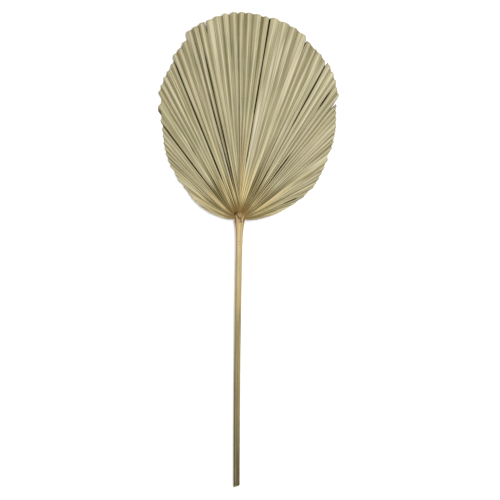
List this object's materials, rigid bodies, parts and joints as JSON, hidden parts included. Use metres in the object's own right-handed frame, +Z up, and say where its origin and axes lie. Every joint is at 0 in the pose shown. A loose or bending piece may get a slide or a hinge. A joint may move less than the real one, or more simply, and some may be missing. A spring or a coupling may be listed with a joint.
{
  "type": "dried palm leaf",
  "caption": "Dried fan palm leaf: a pleated blade trimmed to an oval, on a slim straight stalk cut at a slant, for dried arrangements.",
  "frame": {"origin": "middle of the lying leaf's outline, on the surface it rests on", "axes": "+Z up from the surface, +Y from the stalk's cut end to the blade's tip, +X to the right seen from above"},
  "size_m": [0.3052, 0.8048, 0.0121],
  "materials": {
    "dry_blade": "matt dry leaf, sage beige with fine long veins",
    "dry_stalk": "satin dry stalk, tan at the blade and olive brown at the cut end"
  },
  "bodies": {
    "root": {"blade": "dry_blade", "stalk": "dry_stalk"}
  },
  "joints": []
}
